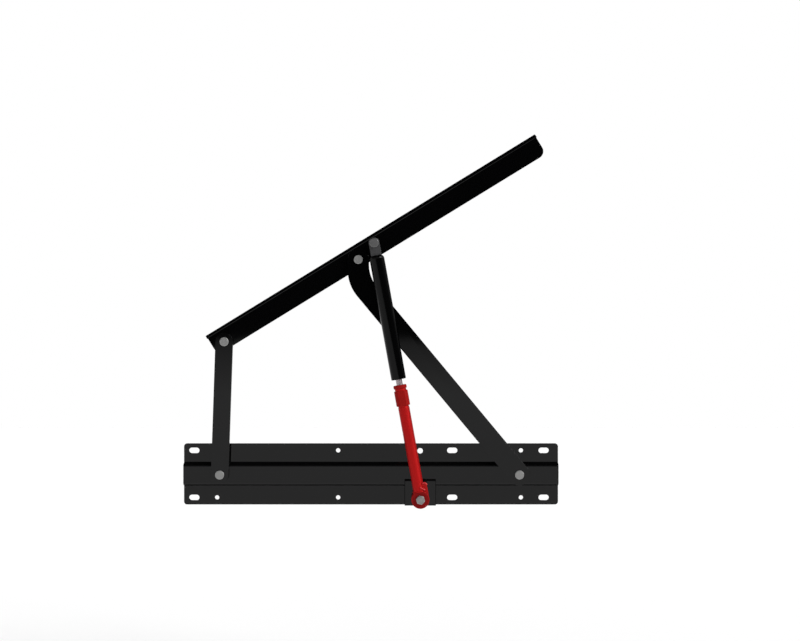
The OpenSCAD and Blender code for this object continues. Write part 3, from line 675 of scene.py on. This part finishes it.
def seat_weld():
    """Round the tube from one face of the ear to the other."""
    whole = 2 * (math.pi - SEAT_RUN_TURN)
    run = [on_tube(SEAT_RUN_TURN + share * whole, SEAT_RUN_AT) for share in shares(SEAT_RUN_STEPS)]
    foot_weld("tube_seat_weld", run, BEAD_RADIUS, BEAD_PITCH, seed=5, look="red_paint")


def thick_weld(name, stations, seed):
    run = [strut_point(*place) for place in filled_in(stations, THICK_RUN_STEPS)]
    foot_weld(name, run, THICK_BEAD_RADIUS, THICK_BEAD_PITCH, seed, look="weld_paint")


ear_weld("ear_weld_front", EAR_RUN_TURN)
ear_weld("ear_weld_back", -EAR_RUN_TURN)
seat_weld()
thick_weld("ear_top_weld", TOP_RUN, seed=11)
thick_weld("ear_toe_weld", TOE_RUN, seed=13)


# Studio: a pale floor below the object, soft light, and the photograph's view

WHITE = (1, 1, 1, 1)
FLOOR_GREY = (0.75, 0.75, 0.75, 1)
FLOOR_GLOW = 0.168
FLOOR_Z = -0.36
FLOOR_HALF = 6.0
LIGHT_LEVEL = 0.7
LAMP_WAY = Vector((0.742, -0.346, 0.574))
LAMP_AWAY = 3.0
LAMP_LEVEL = 2.3
LAMP_WIDTH = math.radians(40)
CAMERA_AT = (0.04975, -2.368, 0.2462)
CAMERA_SENSOR = 36.0  # in millimetres
CAMERA_SEES = (0.05, 60.0)  # from and to
PHOTO_WIDTH = 800.0  # in pixels
PHOTO_FOCAL = 1474.0  # in pixels


def studio_floor():
    """Matt pale grey, with a little glow that lifts it to white for the camera and for mirrors."""
    corners = [(x * FLOOR_HALF, y * FLOOR_HALF, FLOOR_Z) for x, y in ((-1, -1), (1, -1), (1, 1), (-1, 1))]
    mesh = bpy.data.meshes.new("studio_floor")
    mesh.from_pydata(corners, [], [(0, 1, 2, 3)])
    floor = bpy.data.objects.new("studio_floor", mesh)
    bpy.context.scene.collection.objects.link(floor)
    paint = bpy.data.materials.new("pale_floor")
    paint.use_nodes = True
    paint.node_tree.nodes.clear()
    net = Net(paint.node_tree)
    light_path = net.add("ShaderNodeLightPath").outputs
    seen = net.math("MAXIMUM", light_path["Is Camera Ray"], light_path["Is Glossy Ray"])
    seen = net.math("MAXIMUM", seen, light_path["Is Transmission Ray"])
    matt = net.add("ShaderNodeBsdfDiffuse", {"Color": FLOOR_GREY})
    level = net.math("MULTIPLY", seen, FLOOR_GLOW)
    glow = net.add("ShaderNodeEmission", {"Color": WHITE, "Strength": level})
    both = net.add("ShaderNodeAddShader", {0: matt.outputs[0], 1: glow.outputs[0]})
    net.add("ShaderNodeOutputMaterial", {"Surface": both.outputs[0]})
    mesh.materials.append(paint)


# What mirrors show, in bands by the ray's height, which is the sine of its angle above the horizon
GROUND_HEIGHTS = (-0.05, -0.018)
GROUND_LEVELS = (1.0, 0.55)
HORIZON_HEIGHTS = (-0.0165, -0.0105)
STRIP_BOTTOM = (0.2, 0.27)
STRIP_TOP = (0.38, 0.46)
STRIP_LEVEL = 1.3
PATCH_BOTTOM = (0.02, 0.12)
PATCH_RIGHT = (0.3, 0.6)
PATCH_BEHIND = (-0.15, 0.2)
PATCH_LEVEL = 0.2
DARK_LEVEL = 0.006


def mirrored_room(net):
    """The level that mirrors show along a ray, whose X is to the right, Y away from the view, and Z up."""
    ray = net.parts(net.add("ShaderNodeTexCoord").outputs["Generated"])
    height = ray["Z"]
    ground = net.span(height, *GROUND_HEIGHTS, *GROUND_LEVELS, smooth=False)
    below = net.span(height, *HORIZON_HEIGHTS, 1.0, 0.0)
    from_bottom = net.span(height, *STRIP_BOTTOM, 0.0, STRIP_LEVEL)
    strip = net.math("SUBTRACT", from_bottom, net.span(height, *STRIP_TOP, 0.0, STRIP_LEVEL))
    # Only the sides of round pieces mirror the dim patch to the right and behind
    beside = net.math("MULTIPLY", net.span(ray["Y"], *PATCH_BEHIND), net.span(ray["X"], *PATCH_RIGHT))
    patch = net.math("MULTIPLY", beside, net.span(height, *PATCH_BOTTOM, 0.0, PATCH_LEVEL))
    above = net.math("ADD", net.math("MAXIMUM", strip, patch), DARK_LEVEL)
    return net.math("MULTIPLY_ADD", ground, below, above)


def studio_world():
    """White behind the object, even soft light on it, and a darker room in what it mirrors."""
    world = bpy.data.worlds.new("studio")
    world.use_nodes = True
    world.node_tree.nodes.clear()
    bpy.context.scene.world = world
    net = Net(world.node_tree)
    light_path = net.add("ShaderNodeLightPath").outputs
    seen = net.math("MAXIMUM", light_path["Is Camera Ray"], light_path["Is Transmission Ray"])
    light = net.add("ShaderNodeBackground", {"Color": WHITE, "Strength": LIGHT_LEVEL})
    mirrored = net.add("ShaderNodeBackground", {"Color": WHITE, "Strength": mirrored_room(net)})
    white = net.add("ShaderNodeBackground", {"Color": WHITE, "Strength": 1.0})
    unseen = net.add("ShaderNodeMixShader", {
        0: light_path["Is Glossy Ray"], 1: light.outputs[0], 2: mirrored.outputs[0]})
    whole = net.add("ShaderNodeMixShader", {0: seen, 1: unseen.outputs[0], 2: white.outputs[0]})
    net.add("ShaderNodeOutputWorld", {"Surface": whole.outputs[0]})


def key_lamp():
    """A wide far lamp, so that the floor and the object are lit evenly."""
    lamp = bpy.data.lights.new("key_lamp", "SUN")
    lamp.angle = LAMP_WIDTH
    lamp.energy = LAMP_LEVEL
    holder = bpy.data.objects.new("key_lamp", lamp)
    bpy.context.scene.collection.objects.link(holder)
    holder.location = LAMP_WAY * LAMP_AWAY
    holder.rotation_mode = "QUATERNION"
    holder.rotation_quaternion = LAMP_WAY.to_track_quat("Z", "Y")


def photo_camera():
    """The photograph's view, level and square to the rails."""
    lens = bpy.data.cameras.new("photo_view")
    lens.sensor_width = CAMERA_SENSOR
    lens.lens = PHOTO_FOCAL * CAMERA_SENSOR / PHOTO_WIDTH
    lens.clip_start, lens.clip_end = CAMERA_SEES
    holder = bpy.data.objects.new("photo_view", lens)
    bpy.context.scene.collection.objects.link(holder)
    holder.location = CAMERA_AT
    holder.rotation_euler = (math.radians(90), 0, 0)
    bpy.context.scene.camera = holder


studio_floor()
studio_world()
key_lamp()
photo_camera()
bpy.context.scene.view_settings.view_transform = "Standard"
